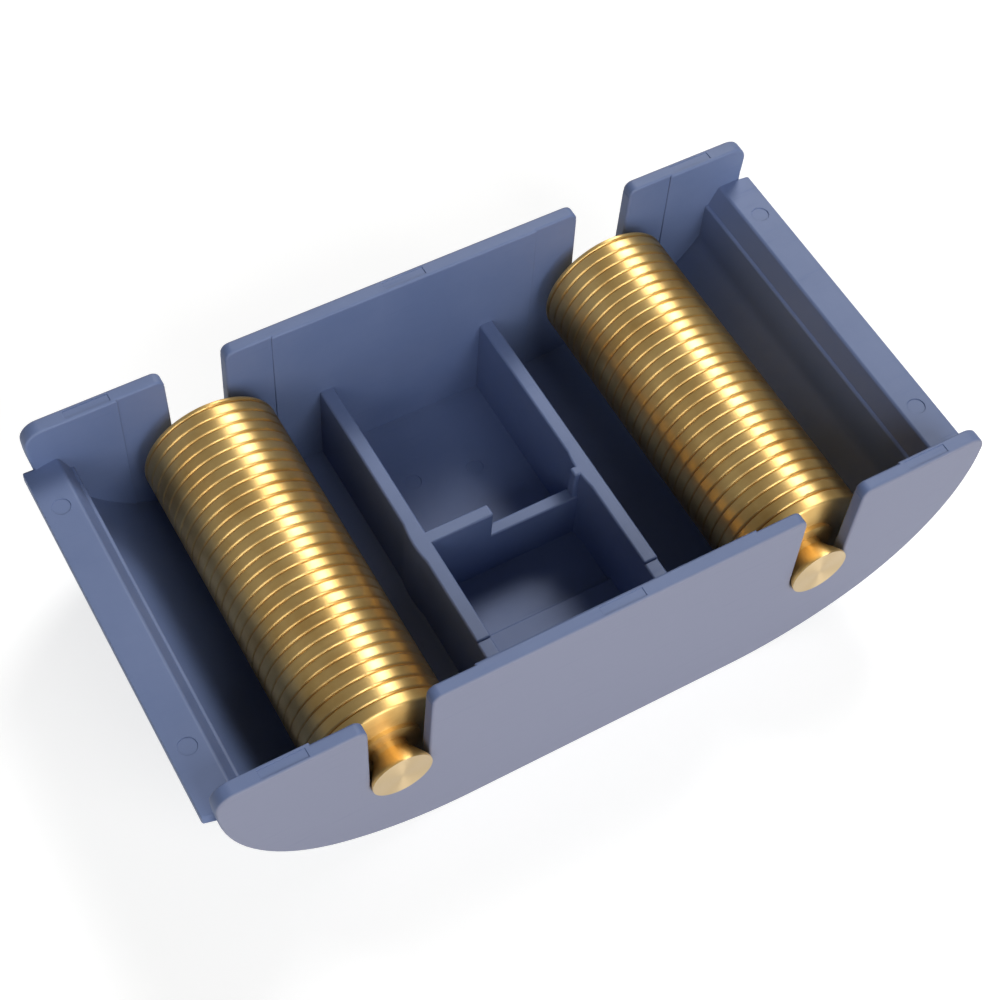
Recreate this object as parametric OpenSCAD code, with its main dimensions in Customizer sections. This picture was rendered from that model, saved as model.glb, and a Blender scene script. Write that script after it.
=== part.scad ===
// Boat-shaped trough cradle with two brass rollers that drop into open notches.
// X runs along the boat, Y across it, Z up. The origin is at the middle of the
// flat underside. Each roller is a turned shaft that carries a stack of rings.

/* [Side plates] */
// Length of the two side plates
plate_len = 100.6; // [96:0.1:116]
// Height of the side plates above the flat underside
plate_h = 29.65; // [27.5:0.05:36]
// Width of the cradle over both side plates
cradle_w = 54; // [44:0.5:70]
// Thickness of a side plate
plate_t = 2; // [1.5:0.1:3]
// Radius of the two top corners of a side plate
top_corner_r = 2.3; // [0.5:0.1:4]
// Radius of the long curve that rises from the flat underside
bilge_r = 39.1; // [34:0.1:46]
// Angle that the long curve turns through
bilge_angle = 26.5; // [20:0.5:32]
// Radius of the tighter curve at each end
end_r = 25.7; // [20:0.1:27.4]

/* [Roller notches] */
// Distance of each roller axis from its end of the side plates
roller_inset = 21.8; // [19:0.1:25]
// Height of the roller axes
axis_z = 16.2; // [14.5:0.1:18]
// Width of a notch at its round seat
notch_w = 7.4; // [6:0.1:8]
// Width that the draft adds to a notch at the top of the plate
notch_draft = 0.5; // [0:0.05:1.5]
// Rounding of the lips at the mouth of a notch
notch_lip_r = 1.2; // [0.3:0.1:2]
// Width of the thinned panel round each notch, on the inner face of the plate
relief_w = 20; // [14:0.5:22]
// Depth of the thinned panel
relief_depth = 0.2; // [0.1:0.05:0.5]

/* [Hull skin and end walls] */
// Thickness of the curved skin that closes the underside
skin_t = 1.7; // [1.2:0.1:2.5]
// Distance of the inner face of each end wall from its end of the side plates
end_wall_inset = 5.15; // [4:0.05:8]
// Thickness of an end wall
end_wall_t = 1.7; // [1.2:0.1:2.5]
// Height of the top of the end flanges
flange_z = 23.45; // [21:0.05:26]
// Thickness of an end flange
flange_t = 1.7; // [1.2:0.1:2.5]
// Overhang of an end flange past the plate ends
flange_overhang = 1.1; // [0:0.1:3]
// Width of the flat ledge at the foot of the lead-in slope
ledge_w = 0.45; // [0.2:0.05:1]
// Distance of the lead-in crease on the flange from the inner face of the end wall
lead_in_w = 1.75; // [1.2:0.05:3]
// Height of the lead-in slope
lead_in_h = 2.85; // [1.5:0.05:4]

/* [Dividers] */
// Distance of the left divider from the middle
left_divider_x = 11.5; // [8:0.05:12]
// Distance of the right divider from the middle
right_divider_x = 11.85; // [8:0.05:12]
// Thickness of a divider
divider_t = 2; // [1.2:0.1:2.5]
// Height of the dividers and of the tall part of the cross rib
divider_h = 14.85; // [12:0.05:18]
// Length of the lowered step where a divider meets the near plate
divider_step_len = 8.9; // [4:0.1:14]
// Depth of the lowered step
divider_step = 0.3; // [0.1:0.05:0.6]
// Length of the gentle swelling of each divider where the cross rib meets it
swell_len = 6; // [3:0.5:9]
// Height of that swelling
swell = 0.3; // [0.1:0.05:0.6]

/* [Cross rib] */
// Place of the cross rib across the cradle
cross_rib_y = -0.5; // [-6:0.1:6]
// Thickness of the cross rib
cross_rib_t = 1.8; // [1.2:0.1:2.5]
// Place where the cross rib steps down
cross_rib_step_x = -1.85; // [-6:0.05:6]
// Height of the low part of the cross rib
cross_rib_low_h = 9.9; // [6:0.1:12]
// Width of the small upright nib above the low part
nib_w = 1.4; // [0.5:0.1:1.7]
// Reach of the nib from the divider
nib_reach = 1; // [0.5:0.1:1.5]

/* [Compartment floor] */
// Length of the raised pad on the floor, from the near plate
pad_len = 14.8; // [8:0.1:20]
// Rise of the pad above the skin
pad_rise = 1; // [0.4:0.1:3]
// Distance of the two pin marks of the far floor from the middle
floor_mark_x = 4.2; // [2:0.1:7]
// Place of that pair of pin marks across the cradle
floor_mark_y = 14.2; // [6:0.1:20]

/* [Ejector marks] */
// Length of a blade ejector mark on the top edge of a plate
blade_mark_len = 5.6; // [4:0.1:8]
// Width of a blade ejector mark
blade_mark_w = 1.1; // [0.6:0.1:1.4]
// Distance of the outer blade marks from the ends of the plates
blade_mark_inset = 8.3; // [6:0.1:10]
// Diameter of the round pin marks
pin_mark_d = 2.2; // [1:0.1:3]
// Distance between the two pin marks of a flange
pin_mark_spacing = 35; // [20:0.5:40]
// Distance of the pair of pin marks from the middle of the flange
pin_mark_shift = 1; // [-2:0.1:2]
// Depth of the ejector marks
mark_depth = 0.12; // [0.05:0.01:0.3]

/* [Roller rings] */
// Outer diameter of the rings
ring_d = 17.8; // [14:0.1:20]
// Number of loose rings on each roller
ring_count = 27; // [20:1:27]
// Rounding of the two outer edges of a ring
ring_edge_r = 0.32; // [0.05:0.01:0.45]
// Radial clearance of the loose rings on the shaft
ring_clear = 0.05; // [0.02:0.01:0.1]
// Thickness of the pressed collar at the far end of the stack
collar_t = 0.66; // [0.5:0.02:1.6]
// Gap that lets the stack turn between shoulder and collar
stack_float = 0.04; // [0.02:0.01:0.2]

/* [Roller shafts] */
// Diameter of the shaft inside the rings
core_d = 8.3; // [7.6:0.1:10]
// Gap between the near plate and the shoulder rim
near_gap = 1.37; // [1:0.01:2]
// Gap between the end collar and the far plate
far_gap = 1.97; // [1:0.01:3]
// Diameter of the boss outside the near shoulder
boss_d = 8.6; // [8.4:0.1:12]
// Length of the boss
boss_len = 0.5; // [0.3:0.05:0.9]
// Diameter of the waist in the near notch
waist_d = 4.7; // [3:0.1:6]
// Radial clearance of the journals in their notches
journal_clear = 0.06; // [0.02:0.01:0.1]
// Length of the flare inside the near notch
flare_len = 2.1; // [0.8:0.05:2.1]
// Diameter of the flat head outside the near plate
head_d = 7.6; // [7.5:0.02:9]
// Gap between the back of the head and the near plate
head_gap = 0.4; // [0.1:0.05:1]
// Thickness of the rim of the head
head_t = 0.25; // [0.2:0.05:1]
// Length of the far journal inside its notch
far_journal_len = 0.9; // [0.5:0.05:1.8]
// Chamfer at the tip of the far journal
far_chamfer = 0.5; // [0.1:0.05:0.6]

/* [Hidden] */
$fn = 96;
cut = 1; // overshoot of cutting bodies
mark_stagger = 0.85; // half of the offset between the two pin marks of the far floor
inner_w = cradle_w - 2 * plate_t; // clear width between the plates
roller_x = plate_len / 2 - roller_inset;
end_wall_x = plate_len / 2 - end_wall_inset; // inner face of an end wall
end_wall_out_x = end_wall_x + end_wall_t;
blade_mark_x = plate_len / 2 - blade_mark_inset;
end_centre_x = plate_len / 2 - end_r; // centre of an end curve
end_centre_z = bilge_r - (bilge_r - end_r) * cos(bilge_angle);
flat_half = end_centre_x - (bilge_r - end_r) * sin(bilge_angle); // half of the flat underside
flange_end_x = plate_len / 2 + flange_overhang;
bore_d = core_d + 2 * ring_clear;
ring_room = inner_w - near_gap - far_gap - collar_t - 2 * stack_float;
ring_t = ring_room / (ring_count + 1); // the shoulder rim is as thick as a ring
ring_stack_len = ring_count * ring_t;
near_y = near_gap - inner_w / 2; // outer face of the near shoulder
stack_y = near_y + ring_t + stack_float; // near face of the first loose ring
collar_y = stack_y + ring_stack_len + stack_float;
journal_r = notch_w / 2 - journal_clear;
head_back_y = -cradle_w / 2 - head_gap;
far_tip_y = inner_w / 2 + far_journal_len;
SIDES = [["left", -1], ["right", 1]];

function ring_name(side, i) = str(side, "_ring_", i < 10 ? "0" : "", i);

// ---------------------------------------------------------------- helpers

// Extrudes an outline drawn in X and Z from y0 to y1.
module along_y(y0, y1) {
    translate([0, y1, 0])
        rotate([90, 0, 0])
            linear_extrude(y1 - y0) children();
}

// Turns a profile drawn as radius and Y about a roller axis.
module turned(side) {
    translate([side * roller_x, 0, axis_z])
        rotate([-90, 0, 0])
            rotate_extrude() children();
}

// Both halves of a shape that is the same at either end of the boat.
module both_ends() {
    children();
    mirror([1, 0]) children();
}

// Slice of a circle about [x, z], from a little left of straight down to angle a right of it.
module slice(x, z, r, a) {
    reach = 2 * r;
    intersection() {
        translate([x, z]) circle(r);
        polygon([
            [x - cut, z],
            [x, z],
            [x + reach * sin(a), z - reach * cos(a)],
            [x - cut, z - reach]
        ]);
    }
}

// ---------------------------------------------------------------- outlines

// Boat section, shrunk by inset, as high as top: a flat, a long curve and an end curve.
module boat(inset, top) {
    intersection() {
        translate([-plate_len, inset]) square([2 * plate_len, top - inset]);
        both_ends() {
            translate([0, inset]) square([flat_half, top]);
            slice(flat_half, bilge_r, bilge_r - inset, bilge_angle);
            translate([end_centre_x, end_centre_z]) circle(end_r - inset);
            translate([end_centre_x, end_centre_z]) square([end_r - inset, plate_h]);
        }
    }
}

// Rectangle over the boat with rounded top corners, which trims the plate.
module plate_top() {
    half = plate_len / 2;
    both_ends() {
        square([half - top_corner_r, plate_h]);
        square([half, plate_h - top_corner_r]);
        translate([half - top_corner_r, plate_h - top_corner_r]) circle(top_corner_r);
    }
}

// Open notch with a round seat on the roller axis, drafted sides and rounded lips.
module notch() {
    mouth_w = notch_w + notch_draft;
    depth = plate_h - axis_z;
    translate([0, axis_z]) {
        circle(d = notch_w);
        polygon([
            [-notch_w / 2, 0],
            [notch_w / 2, 0],
            [mouth_w / 2, depth],
            [mouth_w / 2, depth + cut],
            [-mouth_w / 2, depth + cut],
            [-mouth_w / 2, depth]
        ]);
        both_ends() difference() {
            translate([0, depth - notch_lip_r])
                square([mouth_w / 2 + notch_lip_r, notch_lip_r + cut]);
            translate([mouth_w / 2 + notch_lip_r, depth - notch_lip_r]) circle(notch_lip_r);
        }
    }
}

module side_outline() {
    difference() {
        intersection() {
            boat(0, plate_h);
            plate_top();
        }
        for (s = SIDES) translate([s[1] * roller_x, 0]) notch();
    }
}

// End wall, ledge, lead-in slope and flange in one section of the right end.
module end_wall_section() {
    ledge_z = flange_z - lead_in_h;
    polygon([
        [end_wall_x, skin_t],
        [end_wall_out_x, skin_t],
        [end_wall_out_x, flange_z - flange_t],
        [flange_end_x, flange_z - flange_t],
        [flange_end_x, flange_z],
        [end_wall_x + lead_in_w, flange_z],
        [end_wall_x + ledge_w, ledge_z],
        [end_wall_x, ledge_z]
    ]);
}

// Curved skin from end wall to end wall.
module skin_section() {
    intersection() {
        difference() {
            boat(0, plate_h);
            boat(skin_t, plate_h + cut);
        }
        translate([-end_wall_out_x, 0]) square([2 * end_wall_out_x, plate_h / 2]);
    }
}

// ---------------------------------------------------------------- cradle

module side_plate(side) {
    inner_y = inner_w / 2;
    y0 = side < 0 ? -cradle_w / 2 : inner_y;
    difference() {
        along_y(y0, y0 + plate_t) side_outline();
        for (s = SIDES)
            translate([s[1] * roller_x - relief_w / 2, side * inner_y - relief_depth, skin_t])
                cube([relief_w, 2 * relief_depth, plate_h]);
        for (x = [-blade_mark_x, 0, blade_mark_x])
            translate([x - blade_mark_len / 2,
                       side * (cradle_w - plate_t) / 2 - blade_mark_w / 2,
                       plate_h - mark_depth])
                cube([blade_mark_len, blade_mark_w, cut]);
    }
}

module end_wall(side) {
    flange_mid_x = (end_wall_x + lead_in_w + flange_end_x) / 2;
    mirror([side < 0 ? 1 : 0, 0, 0])
        difference() {
            along_y(-inner_w / 2, inner_w / 2)
                intersection() {
                    end_wall_section();
                    union() {
                        boat(0, plate_h);
                        translate([end_wall_x, flange_z - flange_t])
                            square([flange_end_x - end_wall_x, flange_t]);
                    }
                }
            for (k = [-1, 1])
                translate([flange_mid_x, pin_mark_shift + k * pin_mark_spacing / 2, flange_z - mark_depth])
                    cylinder(d = pin_mark_d, h = cut);
        }
}

// The skin reaches into the thinned panels of the plates.
module hull_skin() {
    reach = inner_w / 2 + relief_depth;
    difference() {
        along_y(-reach, reach) skin_section();
        for (k = [-1, 1])
            translate([k * floor_mark_x, floor_mark_y - k * mark_stagger, skin_t - mark_depth])
                cylinder(d = pin_mark_d, h = cut);
    }
}

// Divider at x, swollen on its left face where the cross rib meets it.
module divider(x) {
    face_x = x - divider_t / 2;
    swell_r = (swell_len * swell_len / 4 + swell * swell) / (2 * swell);
    difference() {
        translate([face_x, -inner_w / 2, 0]) cube([divider_t, inner_w, divider_h]);
        translate([x - divider_t, -inner_w / 2 - cut, divider_h - divider_step])
            cube([2 * divider_t, divider_step_len + cut, divider_step + cut]);
    }
    intersection() {
        translate([face_x - swell + swell_r, cross_rib_y, 0]) cylinder(r = swell_r, h = divider_h);
        translate([face_x - swell - cut, cross_rib_y - swell_len, 0])
            cube([swell + cut + divider_t / 2, 2 * swell_len, divider_h]);
    }
}

module cross_rib() {
    x0 = -left_divider_x;
    x1 = right_divider_x;
    y0 = cross_rib_y - cross_rib_t / 2;
    nib_x = x1 - divider_t / 2 - nib_reach;
    translate([x0, y0, 0]) cube([x1 - x0, cross_rib_t, cross_rib_low_h]);
    translate([x0, y0, 0]) cube([cross_rib_step_x - x0, cross_rib_t, divider_h]);
    translate([nib_x, cross_rib_y - nib_w / 2, 0])
        cube([x1 - nib_x, nib_w, divider_h]);
}

module floor_pad() {
    translate([-left_divider_x, -inner_w / 2, 0])
        cube([left_divider_x + right_divider_x, pad_len, skin_t + pad_rise]);
}

module cradle() {
    color("#7d86ae") {
        side_plate(-1);
        side_plate(1);
        hull_skin();
        end_wall(-1);
        end_wall(1);
        divider(-left_divider_x);
        divider(right_divider_x);
        cross_rib();
        floor_pad();
    }
}

// ---------------------------------------------------------------- rollers

// Profile of a ring or rim from y0, with its two outer edges rounded.
module ring_profile(inner_d, y0, thick, edge_r) {
    inner_r = inner_d / 2;
    outer_r = ring_d / 2;
    translate([inner_r, y0]) square([outer_r - edge_r - inner_r, thick]);
    translate([inner_r, y0 + edge_r]) square([outer_r - inner_r, thick - 2 * edge_r]);
    for (y = [y0 + edge_r, y0 + thick - edge_r])
        translate([outer_r - edge_r, y]) circle(edge_r);
}

// Profile of the bare shaft: head, flare, waist, boss, core and far journal.
module shaft_profile() {
    head_r = head_d / 2;
    waist_r = waist_d / 2;
    polygon([
        [0, head_back_y - head_t],
        [head_r, head_back_y - head_t],
        [head_r, head_back_y],
        [journal_r, -cradle_w / 2],
        [waist_r, -cradle_w / 2 + flare_len],
        [waist_r, near_y - boss_len],
        [boss_d / 2, near_y - boss_len],
        [boss_d / 2, near_y],
        [core_d / 2, near_y],
        [core_d / 2, collar_y + collar_t],
        [journal_r, collar_y + collar_t],
        [journal_r, far_tip_y - far_chamfer],
        [journal_r - far_chamfer, far_tip_y],
        [0, far_tip_y]
    ]);
}

module shaft(side) {
    color("#b98f45")
        turned(side) {
            shaft_profile();
            ring_profile(waist_d, near_y, ring_t, ring_edge_r);
        }
}

module end_collar(side) {
    color("#b98f45")
        turned(side) ring_profile(core_d, collar_y, collar_t, collar_t / 3);
}

module ring(side, i) {
    color("#c79d50")
        turned(side) ring_profile(bore_d, stack_y + (i - 1) * ring_t, ring_t, ring_edge_r);
}

// ---------------------------------------------------------------- assembly

cradle();
shaft(-1);  // left_shaft
shaft(1);  // right_shaft
end_collar(-1);  // left_end_collar
end_collar(1);  // right_end_collar
for (s = SIDES) for (i = [1:ring_count])
    ring(s[1], i);
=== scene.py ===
"""Finishes, studio and camera for a moulded boat-shaped cradle with two ringed brass rollers."""

import logging
import math
from dataclasses import dataclass, field
from enum import Enum

import bpy
from mathutils import Matrix, Vector

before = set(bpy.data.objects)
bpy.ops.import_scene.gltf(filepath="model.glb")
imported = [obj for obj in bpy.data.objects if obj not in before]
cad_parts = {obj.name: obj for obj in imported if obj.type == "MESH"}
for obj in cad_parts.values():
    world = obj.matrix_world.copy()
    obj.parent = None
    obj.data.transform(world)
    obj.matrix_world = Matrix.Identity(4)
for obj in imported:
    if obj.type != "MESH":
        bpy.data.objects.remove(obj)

LOG = logging.getLogger("roller_cradle")
MM = 0.001
WHITE = (1.0, 1.0, 1.0, 1.0)
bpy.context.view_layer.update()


class Side(Enum):
    """The two rollers. The value is the sign of a roller's place along the cradle."""

    LEFT = -1
    RIGHT = 1


class Turning(Enum):
    """How a turned brass face was cut. The value is how many layers of tool marks it shows."""

    FINISHING = 2
    FACING = 3


# ------------------------------------------------------------------ helpers


def linear(code: str) -> tuple[float, float, float, float]:
    """Turn an sRGB hex colour into the linear colour that a shader takes.

    Args:
        code: The colour as six hex digits after a hash sign.

    Returns:
        Red, green, blue and an alpha of 1.
    """
    values = [int(code[i : i + 2], 16) / 255 for i in (1, 3, 5)]
    straight = [v / 12.92 if v <= 0.04045 else ((v + 0.055) / 1.055) ** 2.4 for v in values]
    return (straight[0], straight[1], straight[2], 1.0)


def add_node(
    tree: bpy.types.NodeTree,
    kind: str,
    inputs: dict[str | int, object] | None = None,
    **settings: object,
) -> bpy.types.Node:
    """Add one node with its settings, values and links.

    Args:
        tree: The node tree that takes the node.
        kind: Blender's name of the node type.
        inputs: Values or output sockets, by input name or index.
        **settings: Properties of the node itself.

    Returns:
        The new node.
    """
    node = tree.nodes.new(kind)
    for name, value in settings.items():
        setattr(node, name, value)
    for key, value in (inputs or {}).items():
        if isinstance(value, bpy.types.NodeSocket):
            tree.links.new(value, node.inputs[key])
        else:
            node.inputs[key].default_value = value
    return node


def new_tree(name: str) -> tuple[bpy.types.Material, bpy.types.NodeTree]:
    """Make an empty node material.

    Args:
        name: The material's name.

    Returns:
        The material and its node tree.
    """
    material = bpy.data.materials.new(name)
    material.use_nodes = True
    material.node_tree.nodes.clear()
    return material, material.node_tree


def dress(node_name: str, material: bpy.types.Material) -> bpy.types.Object:
    """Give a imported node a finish.

    Args:
        node_name: The node's name in the frame.
        material: The finish for all its faces.

    Returns:
        The node's object.
    """
    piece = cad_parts[node_name]
    for slot in piece.material_slots:
        slot.material = material
    LOG.info("%s: %s", node_name, material.name)
    return piece


# ------------------------------------------------------------------ finishes


@dataclass(frozen=True)
class MouldedAbs:
    """Blue ABS moulded in a spark-eroded tool: satin, finely grained, with faint flow clouds."""

    name: str = "Moulded blue ABS"
    colour: str = "#5B6E99"
    cloud: str = "#61739D"
    # fitted grey of the outer faces, which may partly be a reflection
    painted_reflection_tone: str = "#81859D"  # painted grey reflection of the pale table on the plates' outer faces
    reflection_from_mm: float = 26.66  # the painted reflection starts at this distance from the middle plane
    reflection_full_mm: float = 26.92
    ior: float = 1.54
    specular_level: float = 0.85
    roughness: float = 0.63
    roughness_spread: float = 0.10
    cloud_mm: float = 9.0
    cloud_band: tuple[float, float] = (0.35, 0.65)  # noise values at which a cloud starts and is full
    grain_mm: float = 0.22  # real spark grain is about 0.05 mm, drawn coarser so that it shows
    grain_depth_mm: float = 0.006
    ripple_mm: float = 6.0
    ripple_depth_mm: float = 0.03
    scuff_mm: float = 0.35
    scuff_length_mm: float = 7.0
    scuff_turn: tuple[float, float, float] = (0.3, 0.2, 0.5)  # radians, aslant to every face
    scuff_band: tuple[float, float] = (0.62, 0.78)  # only the peaks of the noise are scuffed

    def make(self) -> bpy.types.Material:
        """Build the material.

        Returns:
            The material.
        """
        material, tree = new_tree(self.name)
        place = add_node(tree, "ShaderNodeTexCoord").outputs["Object"]
        clouds = add_node(
            tree,
            "ShaderNodeTexNoise",
            {"Vector": place, "Scale": 1 / (self.cloud_mm * MM), "Detail": 4.0, "Roughness": 0.6},
        )
        cloudy = add_node(
            tree,
            "ShaderNodeMapRange",
            {
                "Value": clouds.outputs["Fac"],
                "From Min": self.cloud_band[0],
                "From Max": self.cloud_band[1],
            },
        )
        clouded = add_node(
            tree,
            "ShaderNodeMix",
            {"Factor": cloudy.outputs["Result"], "A": linear(self.colour), "B": linear(self.cloud)},
            data_type="RGBA",
        )
        across = add_node(tree, "ShaderNodeSeparateXYZ", {0: place}).outputs["Y"]
        reach = add_node(tree, "ShaderNodeMath", {0: across}, operation="ABSOLUTE")
        # the plates' outer faces, which get the painted reflection of the table
        outer = add_node(
            tree,
            "ShaderNodeMapRange",
            {
                "Value": reach.outputs["Value"],
                "From Min": self.reflection_from_mm * MM,
                "From Max": self.reflection_full_mm * MM,
            },
        )
        # paint the grey reflection of the table on the outer faces
        colour = add_node(
            tree,
            "ShaderNodeMix",
            {
                "Factor": outer.outputs["Result"],
                "A": clouded.outputs["Result"],
                "B": linear(self.painted_reflection_tone),
            },
            data_type="RGBA",
        )
        stretch = add_node(
            tree,
            "ShaderNodeMapping",
            {
                "Vector": place,
                "Scale": (self.scuff_mm / self.scuff_length_mm, 1.0, 1.0),
                "Rotation": self.scuff_turn,
            },
        )
        scuffs = add_node(
            tree,
            "ShaderNodeTexNoise",
            {"Vector": stretch.outputs["Vector"], "Scale": 1 / (self.scuff_mm * MM), "Detail": 2.0},
        )
        scuffed = add_node(
            tree,
            "ShaderNodeMapRange",
            {
                "Value": scuffs.outputs["Fac"],
                "From Min": self.scuff_band[0],
                "From Max": self.scuff_band[1],
                "To Max": self.roughness_spread,
            },
        )
        gloss = add_node(
            tree,
            "ShaderNodeMath",
            {0: scuffed.outputs["Result"], 1: self.roughness},
            operation="ADD",
        )
        ripple = add_node(
            tree,
            "ShaderNodeTexNoise",
            {"Vector": place, "Scale": 1 / (self.ripple_mm * MM), "Detail": 1.0},
        )
        waved = add_node(
            tree,
            "ShaderNodeBump",
            {
                "Height": ripple.outputs["Fac"],
                "Strength": 1.0,
                "Distance": self.ripple_depth_mm * MM,
            },
        )
        grain = add_node(
            tree,
            "ShaderNodeTexNoise",
            {"Vector": place, "Scale": 1 / (self.grain_mm * MM), "Detail": 3.0, "Roughness": 0.7},
        )
        grained = add_node(
            tree,
            "ShaderNodeBump",
            {
                "Height": grain.outputs["Fac"],
                "Strength": 1.0,
                "Distance": self.grain_depth_mm * MM,
                "Normal": waved.outputs["Normal"],
            },
        )
        plastic = add_node(
            tree,
            "ShaderNodeBsdfPrincipled",
            {
                "Base Color": colour.outputs["Result"],
                "Roughness": gloss.outputs["Value"],
                "IOR": self.ior,
                "Specular IOR Level": self.specular_level,
                "Normal": grained.outputs["Normal"],
            },
        )
        add_node(tree, "ShaderNodeOutputMaterial", {"Surface": plastic.outputs["BSDF"]})
        return material


@dataclass(frozen=True)
class TurnedBrass:
    """Free-cutting brass turned on a lathe: warm and satin, with fine marks that run round the axis.

    The marks draw the highlight out along the axis.
    """

    name: str
    turning: Turning
    axis_x_mm: float
    axis_z_mm: float
    colour: str = "#EFCB84"
    tarnish: str = "#DDB269"
    roughness: float = 0.42
    roughness_spread: float = 0.08
    anisotropy: float = 0.75  # light spreads across the turning marks
    spread_turn: float = 0.25  # a quarter turn, from round the axis to along it
    line_mm: float = 0.12
    line_band: tuple[float, float] = (0.3, 0.7)  # noise values from the smoothest to the roughest line
    mark_depth_mm: float = 0.0012
    tarnish_mm: float = 6.0
    tarnish_band: tuple[float, float] = (0.42, 0.72)  # noise values at which tarnish starts and is full
    face_mm: float | None = None  # where given, the flat face beyond this has a fitted, duller tone
    face_colour: str = "#D0B991"

    def make(self) -> bpy.types.Material:
        """Build the material.

        Returns:
            The material.
        """
        material, tree = new_tree(self.name)
        place = add_node(tree, "ShaderNodeTexCoord").outputs["Object"]
        along = self.lathe_coordinates(tree, place)
        lines = add_node(
            tree,
            "ShaderNodeTexNoise",
            {
                "Vector": along,
                "Scale": 1 / (self.line_mm * MM),
                "Detail": float(self.turning.value),
                "Roughness": 0.65,
            },
        )
        marks = add_node(
            tree,
            "ShaderNodeBump",
            {"Height": lines.outputs["Fac"], "Strength": 1.0, "Distance": self.mark_depth_mm * MM},
        )
        blotches = add_node(
            tree,
            "ShaderNodeTexNoise",
            {"Vector": place, "Scale": 1 / (self.tarnish_mm * MM), "Detail": 5.0, "Roughness": 0.6},
        )
        dulled = add_node(
            tree,
            "ShaderNodeMapRange",
            {
                "Value": blotches.outputs["Fac"],
                "From Min": self.tarnish_band[0],
                "From Max": self.tarnish_band[1],
            },
        )
        colour = add_node(
            tree,
            "ShaderNodeMix",
            {"Factor": dulled.outputs["Result"], "A": linear(self.colour), "B": linear(self.tarnish)},
            data_type="RGBA",
        )
        if self.face_mm is not None:
            colour = self.tone_face(tree, along, colour, self.face_mm)
        streaks = add_node(
            tree,
            "ShaderNodeMapRange",
            {
                "Value": lines.outputs["Fac"],
                "From Min": self.line_band[0],
                "From Max": self.line_band[1],
                "To Min": self.roughness - self.roughness_spread / 2,
                "To Max": self.roughness + self.roughness_spread / 2,
            },
        )
        round_axis = add_node(tree, "ShaderNodeTangent", direction_type="RADIAL", axis="Y")
        brass = add_node(
            tree,
            "ShaderNodeBsdfPrincipled",
            {
                "Base Color": colour.outputs["Result"],
                "Metallic": 1.0,
                "Roughness": streaks.outputs["Result"],
                "Anisotropic": self.anisotropy,
                "Anisotropic Rotation": self.spread_turn,
                "Tangent": round_axis.outputs["Tangent"],
                "Normal": marks.outputs["Normal"],
            },
        )
        add_node(tree, "ShaderNodeOutputMaterial", {"Surface": brass.outputs["BSDF"]})
        return material

    def tone_face(
        self,
        tree: bpy.types.NodeTree,
        along: bpy.types.NodeSocket,
        colour: bpy.types.Node,
        limit_mm: float,
    ) -> bpy.types.Node:
        """Give the flat face of a head its own tone.

        Args:
            tree: The material's node tree.
            along: The lathe coordinates.
            colour: The node that gives the colour of the rest.
            limit_mm: The face lies beyond this place along the axis.

        Returns:
            The node that gives the colour of both.
        """
        length = add_node(tree, "ShaderNodeSeparateXYZ", {0: along}).outputs["X"]
        flat_face = add_node(tree, "ShaderNodeMath", {0: length, 1: limit_mm * MM}, operation="LESS_THAN")
        return add_node(
            tree,
            "ShaderNodeMix",
            {
                "Factor": flat_face.outputs["Value"],
                "A": colour.outputs["Result"],
                "B": linear(self.face_colour),
            },
            data_type="RGBA",
        )

    def lathe_coordinates(
        self, tree: bpy.types.NodeTree, place: bpy.types.NodeSocket
    ) -> bpy.types.NodeSocket:
        """Turn a place into its distance along the axis and from it, so that marks run round it.

        Args:
            tree: The material's node tree.
            place: The object coordinates, which are the frame's own.

        Returns:
            A vector with length along the axis in X and radius in Y.
        """
        axis = (self.axis_x_mm * MM, 0.0, self.axis_z_mm * MM)
        offset = add_node(tree, "ShaderNodeVectorMath", {0: place, 1: axis}, operation="SUBTRACT")
        parts = add_node(tree, "ShaderNodeSeparateXYZ", {0: offset.outputs["Vector"]})
        flat = add_node(tree, "ShaderNodeCombineXYZ", {"X": parts.outputs["X"], "Y": parts.outputs["Z"]})
        radius = add_node(tree, "ShaderNodeVectorMath", {0: flat.outputs["Vector"]}, operation="LENGTH")
        lathe = add_node(
            tree,
            "ShaderNodeCombineXYZ",
            {"X": parts.outputs["Y"], "Y": radius.outputs["Value"]},
        )
        return lathe.outputs["Vector"]


# ------------------------------------------------------------------ sub-assemblies


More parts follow.
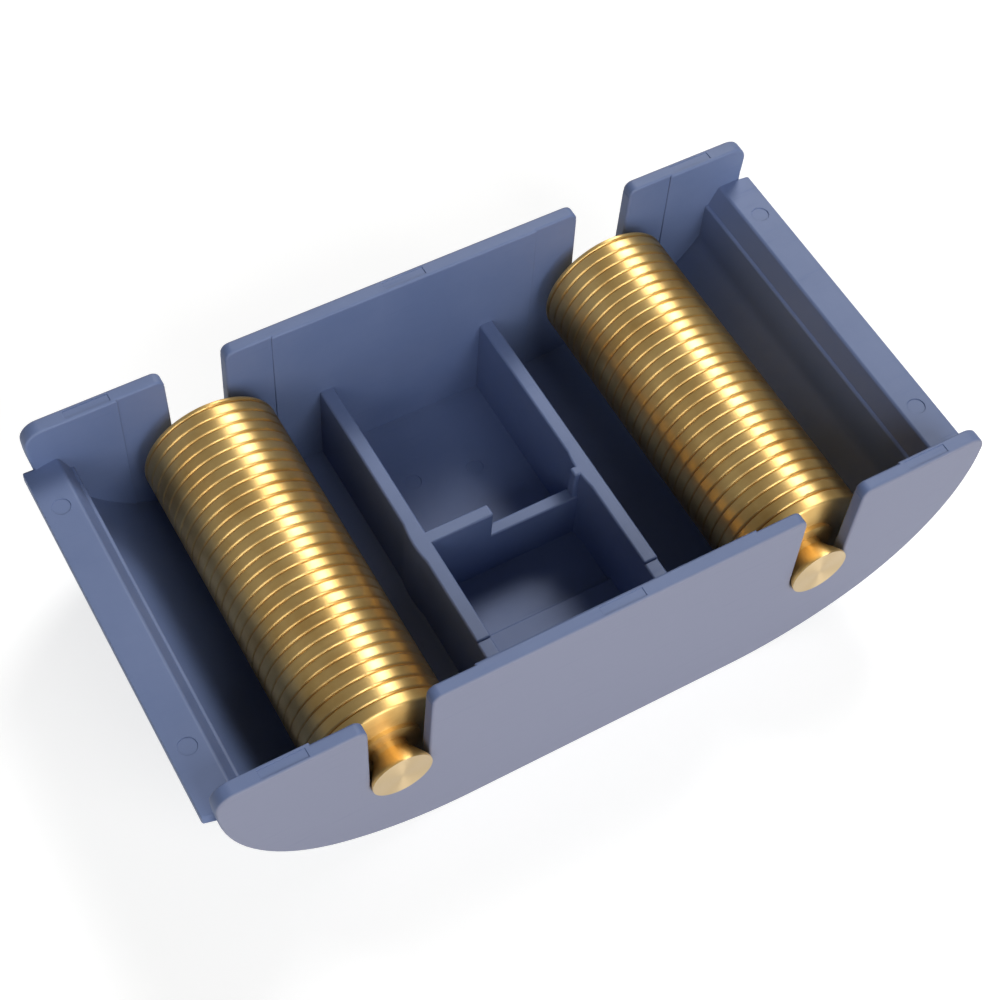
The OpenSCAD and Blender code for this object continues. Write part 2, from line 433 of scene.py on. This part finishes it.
@dataclass
class Cradle:
    """The one-piece moulding that the rollers rest in."""

    finish: MouldedAbs = field(default_factory=MouldedAbs)
    edge_radius_mm: float = 0.33
    edge_segments: int = 3
    sharp_deg: float = 40.0
    fine_edge: float = 0.3  # share of the full radius on the rims of marks and panels
    weld_mm: float = 0.002
    flat_deg: float = 0.5
    plate_inner_y_mm: float = 25.0
    plate_outer_y_mm: float = 27.0
    plate_top_z_mm: float = 29.65
    flange_z_mm: float = 23.45
    flange_span_x_mm: tuple[float, float] = (47.2, 51.2)
    panel_span_x_mm: tuple[float, float] = (18.0, 39.0)
    panel_foot_z_mm: float = 3.0
    panel_margin_mm: float = 0.6  # keeps the plate's own top edge out of the panel's rim
    blade_margin_mm: float = 0.3  # keeps the long edges of a plate top out of the blade marks' rims
    floor_z_mm: float = 1.7
    floor_marks_x_mm: float = 7.0
    floor_marks_y_mm: tuple[float, float] = (11.0, 18.0)
    near_mm: float = 0.1  # an edge this close to a plane counts as on it
    mark_room_mm: float = 0.2  # the same, where the depth of a mark has to fit in

    def build(self) -> bpy.types.Object:
        """Dress the moulding and round its edges as a real tool leaves them.

        Returns:
            The cradle's object.
        """
        piece = dress("cradle", self.finish.make())
        weld = piece.modifiers.new("join_facets", "WELD")
        weld.merge_threshold = self.weld_mm * MM
        flat = piece.modifiers.new("whole_faces", "DECIMATE")
        flat.decimate_type = "DISSOLVE"
        flat.angle_limit = math.radians(self.flat_deg)
        sizes = piece.modifiers.new("edge_sizes", "NODES")
        sizes.node_group = self.edge_sizes()
        edges = piece.modifiers.new("moulded_edges", "BEVEL")
        edges.width = self.edge_radius_mm * MM
        edges.segments = self.edge_segments
        edges.limit_method = "WEIGHT"
        edges.use_clamp_overlap = False
        shade = piece.modifiers.new("shade_by_angle", "NODES")
        shade.node_group = self.shade_by_angle()
        smooth = piece.modifiers.new("even_shading", "WEIGHTED_NORMAL")
        smooth.keep_sharp = True
        LOG.info("cradle: edges rounded to %.2f mm", self.edge_radius_mm)
        return piece

    def edge_sizes(self) -> bpy.types.NodeTree:
        """Say how far each outer edge is rounded: fully, or finely on rims of marks and panels.

        Returns:
            A geometry node tree that stores the share on the edges.
        """
        tree, source = self.geometry_tree("edge_sizes")
        angle = add_node(tree, "GeometryNodeInputMeshEdgeAngle").outputs["Signed Angle"]
        limit = math.radians(self.sharp_deg)
        sharp = add_node(tree, "ShaderNodeMath", {0: angle, 1: limit}, operation="GREATER_THAN")
        place = add_node(tree, "GeometryNodeInputPosition").outputs["Position"]
        folded = add_node(tree, "ShaderNodeVectorMath", {0: place}, operation="ABSOLUTE")
        axes = add_node(tree, "ShaderNodeSeparateXYZ", {0: folded.outputs["Vector"]})
        x, y, z = (axes.outputs[name] for name in "XYZ")
        inner, outer, top = self.plate_inner_y_mm, self.plate_outer_y_mm, self.plate_top_z_mm
        flange, floor = self.flange_z_mm, self.floor_z_mm
        near, room, margin = self.near_mm, self.mark_room_mm, self.blade_margin_mm
        blade_marks = ((y, inner + margin, outer - margin), (z, top - room, top + room))
        panels = (
            (y, inner - near, inner + near),
            (z, self.panel_foot_z_mm, top - self.panel_margin_mm),
            (x, *self.panel_span_x_mm),
        )
        flange_marks = (
            (x, *self.flange_span_x_mm),
            (y, 0.0, inner - near),
            (z, flange - near, flange + near),
        )
        floor_marks = (
            (x, 0.0, self.floor_marks_x_mm),
            (y, *self.floor_marks_y_mm),
            (z, floor - room, floor + room),
        )
        fine = None
        for spans in (blade_marks, panels, flange_marks, floor_marks):
            inside = None
            for socket, low, high in spans:
                within = self.between(tree, socket, low, high)
                inside = within if inside is None else self.combine(tree, inside, within, "MULTIPLY")
            fine = inside if fine is None else self.combine(tree, fine, inside, "MAXIMUM")
        share = add_node(
            tree,
            "ShaderNodeMapRange",
            {"Value": fine, "To Min": 1.0, "To Max": self.fine_edge},
        )
        weight = self.combine(tree, sharp.outputs["Value"], share.outputs["Result"], "MULTIPLY")
        stored = add_node(
            tree,
            "GeometryNodeStoreNamedAttribute",
            {"Geometry": source, "Name": "bevel_weight_edge", "Value": weight},
            data_type="FLOAT",
            domain="EDGE",
        )
        add_node(tree, "NodeGroupOutput", {0: stored.outputs["Geometry"]})
        return tree

    def shade_by_angle(self) -> bpy.types.NodeTree:
        """Shade every face smoothly except across the edges that stay sharp.

        Returns:
            A geometry node tree.
        """
        tree, source = self.geometry_tree("shade_by_angle")
        smooth = add_node(
            tree,
            "GeometryNodeSetShadeSmooth",
            {"Geometry": source, "Shade Smooth": True},
            domain="FACE",
        )
        angle = add_node(tree, "GeometryNodeInputMeshEdgeAngle").outputs["Unsigned Angle"]
        limit = math.radians(self.sharp_deg)
        soft = add_node(tree, "ShaderNodeMath", {0: angle, 1: limit}, operation="LESS_THAN")
        cut = add_node(
            tree,
            "GeometryNodeSetShadeSmooth",
            {"Geometry": smooth.outputs["Geometry"], "Shade Smooth": soft.outputs["Value"]},
            domain="EDGE",
        )
        add_node(tree, "NodeGroupOutput", {0: cut.outputs["Geometry"]})
        return tree

    @staticmethod
    def geometry_tree(name: str) -> tuple[bpy.types.NodeTree, bpy.types.NodeSocket]:
        """Make an empty geometry node tree.

        Args:
            name: The tree's name.

        Returns:
            The tree and the socket that gives the geometry.
        """
        tree = bpy.data.node_groups.new(name, "GeometryNodeTree")
        tree.interface.new_socket("Geometry", in_out="INPUT", socket_type="NodeSocketGeometry")
        tree.interface.new_socket("Geometry", in_out="OUTPUT", socket_type="NodeSocketGeometry")
        return tree, add_node(tree, "NodeGroupInput").outputs[0]

    @staticmethod
    def between(
        tree: bpy.types.NodeTree, socket: bpy.types.NodeSocket, low: float, high: float
    ) -> bpy.types.NodeSocket:
        """Test whether a length lies between two limits in millimetres.

        Args:
            tree: The node tree.
            socket: The length, in metres.
            low: The lower limit.
            high: The upper limit.

        Returns:
            A socket that is 1 inside the limits and 0 outside.
        """
        test = {0: socket, 1: (low + high) / 2 * MM, 2: (high - low) / 2 * MM}
        return add_node(tree, "ShaderNodeMath", test, operation="COMPARE").outputs["Value"]

    @staticmethod
    def combine(
        tree: bpy.types.NodeTree, first: bpy.types.NodeSocket, second: bpy.types.NodeSocket, how: str
    ) -> bpy.types.NodeSocket:
        """Combine two values with one operation.

        Args:
            tree: The node tree.
            first: The first value.
            second: The second value.
            how: The operation of the maths node.

        Returns:
            The result.
        """
        return add_node(tree, "ShaderNodeMath", {0: first, 1: second}, operation=how).outputs["Value"]


@dataclass
class Roller:
    """One roller: a turned shaft, its stack of loose rings and the collar that closes the stack."""

    side: Side
    axis_x_mm: float = 28.5
    axis_z_mm: float = 16.2

    @property
    def word(self) -> str:
        """The side as the node names spell it."""
        return self.side.name.lower()

    def brass(self, name: str, turning: Turning, **changes: float) -> TurnedBrass:
        """A brass finish whose turning marks run round this roller's axis."""
        return TurnedBrass(
            name=f"{name} {self.word}",
            turning=turning,
            axis_x_mm=self.side.value * self.axis_x_mm,
            axis_z_mm=self.axis_z_mm,
            **changes,
        )

    def build(self) -> list[bpy.types.Object]:
        """Dress every piece of the roller.

        Returns:
            The dressed objects.
        """
        ring_brass = self.brass("Turned brass ring", Turning.FINISHING).make()
        shaft_brass = self.brass(
            "Faced brass shaft",
            Turning.FACING,
            roughness=0.46,
            face_mm=-27.62,
            line_mm=0.16,
            mark_depth_mm=0.002,
        ).make()
        pieces = [dress(f"{self.word}_shaft", shaft_brass), dress(f"{self.word}_end_collar", ring_brass)]
        rings = sorted(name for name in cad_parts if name.startswith(f"{self.word}_ring_"))
        pieces += [dress(name, ring_brass) for name in rings]
        LOG.info("%s roller: shaft, collar and %d rings", self.word, len(rings))
        return pieces


# ------------------------------------------------------------------ studio


@dataclass(frozen=True)
class Lamp:
    """One square soft light, placed by its direction from the middle of the cradle."""

    name: str
    direction: tuple[float, float, float]
    size: float
    power: float
    distance: float = 2.5


@dataclass
class Studio:
    """Pale table, soft lights, dim room and the camera. Lengths without a unit are in metres."""

    table_size: float = 6.0
    table_colour: str = "#BEBEBC"
    table_glow: float = 0.71  # added for camera, glossy and transmission rays only
    lamps: tuple[Lamp, ...] = (
        Lamp("key", (0.50, 0.45, 0.74), size=0.9, power=35.0),
        Lamp("front", (0.15, -0.78, 0.58), size=1.2, power=22.0),
        Lamp("low", (0.10, -0.97, 0.20), size=1.2, power=17.0),
        Lamp("side", (-0.60, -0.68, 0.42), size=1.5, power=19.0),
    )
    aim: tuple[float, float, float] = (0.0, 0.0, 0.015)
    room_strength: float = 0.04
    room_gloss: float = 0.20  # what the brass and the plastic mirror of the room
    horizon_band: tuple[float, float] = (0.30, 0.55)  # rise of a view ray over which the backdrop fades
    camera_place_mm: tuple[float, float, float] = (-74.66, -111.3, 220.61)
    camera_right: tuple[float, float, float] = (0.8693, -0.4919, 0.0483)
    camera_up: tuple[float, float, float] = (0.3903, 0.7431, 0.5435)
    lens_mm: float = 71.55
    clip_start: float = 0.01

    def build(self) -> None:
        """Build the whole studio."""
        self.build_table()
        self.build_room()
        for lamp in self.lamps:
            self.hang(lamp)
        self.build_camera()

    def build_table(self) -> None:
        """A large flat table that shows white to the camera and keeps the shadow."""
        half = self.table_size / 2
        mesh = bpy.data.meshes.new("table")
        corners = [(-half, -half, 0), (half, -half, 0), (half, half, 0), (-half, half, 0)]
        mesh.from_pydata(corners, [], [(0, 1, 2, 3)])
        table = bpy.data.objects.new("table", mesh)
        bpy.context.scene.collection.objects.link(table)
        material, tree = new_tree("Matt pale table")
        rays = add_node(tree, "ShaderNodeLightPath")
        mirrored = add_node(
            tree,
            "ShaderNodeMath",
            {0: rays.outputs["Is Glossy Ray"], 1: rays.outputs["Is Transmission Ray"]},
            operation="MAXIMUM",
        )
        seen = add_node(
            tree,
            "ShaderNodeMath",
            {0: mirrored.outputs["Value"], 1: rays.outputs["Is Camera Ray"]},
            operation="MAXIMUM",
        )
        glow = add_node(
            tree,
            "ShaderNodeMath",
            {0: seen.outputs["Value"], 1: self.table_glow},
            operation="MULTIPLY",
        )
        matt = add_node(tree, "ShaderNodeBsdfDiffuse", {"Color": linear(self.table_colour)})
        light = add_node(
            tree,
            "ShaderNodeEmission",
            {"Color": WHITE, "Strength": glow.outputs["Value"]},
        )
        both = add_node(
            tree,
            "ShaderNodeAddShader",
            {0: matt.outputs["BSDF"], 1: light.outputs["Emission"]},
        )
        add_node(tree, "ShaderNodeOutputMaterial", {"Surface": both.outputs["Shader"]})
        mesh.materials.append(material)
        LOG.info("table: %.0f m square", self.table_size)

    def build_room(self) -> None:
        """A dim neutral room, pale near the horizon."""
        world = bpy.data.worlds.new("room")
        world.use_nodes = True
        tree = world.node_tree
        tree.nodes.clear()
        place = add_node(tree, "ShaderNodeTexCoord").outputs["Generated"]
        height = add_node(tree, "ShaderNodeSeparateXYZ", {0: place}).outputs["Z"]
        band = add_node(
            tree,
            "ShaderNodeMapRange",
            {
                "Value": height,
                "From Min": self.horizon_band[0],
                "From Max": self.horizon_band[1],
                "To Min": 1.0,
                "To Max": 0.0,
            },
        )
        rays = add_node(tree, "ShaderNodeLightPath")
        backdrop = add_node(
            tree,
            "ShaderNodeMath",
            {0: band.outputs["Result"], 1: rays.outputs["Is Camera Ray"]},
            operation="MULTIPLY",
        )
        room = add_node(
            tree,
            "ShaderNodeMapRange",
            {
                "Value": rays.outputs["Is Glossy Ray"],
                "To Min": self.room_strength,
                "To Max": self.room_gloss,
            },
        )
        strength = add_node(
            tree,
            "ShaderNodeMath",
            {0: backdrop.outputs["Value"], 1: room.outputs["Result"]},
            operation="MAXIMUM",
        )
        glow = add_node(
            tree,
            "ShaderNodeBackground",
            {"Color": WHITE, "Strength": strength.outputs["Value"]},
        )
        add_node(tree, "ShaderNodeOutputWorld", {"Surface": glow.outputs["Background"]})
        bpy.context.scene.world = world

    def hang(self, lamp: Lamp) -> None:
        """Hang one lamp and aim it at the cradle.

        Args:
            lamp: The lamp's direction, distance, size and power.
        """
        light = bpy.data.lights.new(lamp.name, "AREA")
        light.shape = "SQUARE"
        light.size = lamp.size
        light.energy = lamp.power
        stand = bpy.data.objects.new(lamp.name, light)
        towards = Vector(lamp.direction).normalized()
        stand.location = Vector(self.aim) + towards * lamp.distance
        stand.rotation_euler = (-towards).to_track_quat("-Z", "Y").to_euler()
        bpy.context.scene.collection.objects.link(stand)

    def build_camera(self) -> None:
        """The camera, above the near left of the cradle and looking down on it."""
        lens = bpy.data.cameras.new("camera")
        lens.lens = self.lens_mm
        lens.clip_start = self.clip_start
        right = Vector(self.camera_right).normalized()
        up = Vector(self.camera_up).normalized()
        back = right.cross(up).normalized()
        up = back.cross(right)
        stand = bpy.data.objects.new("camera", lens)
        turn = Matrix((right, up, back)).transposed().to_4x4()
        stand.matrix_world = Matrix.Translation(Vector(self.camera_place_mm) * MM) @ turn
        bpy.context.scene.collection.objects.link(stand)
        bpy.context.scene.camera = stand


def main() -> None:
    """Build the finishes and the studio."""
    logging.basicConfig(level=logging.INFO, format="%(name)s: %(message)s")
    Cradle().build()
    for side in Side:
        Roller(side).build()
    Studio().build()
    bpy.context.scene.view_settings.view_transform = "Standard"


if __name__ == "__main__":
    main()
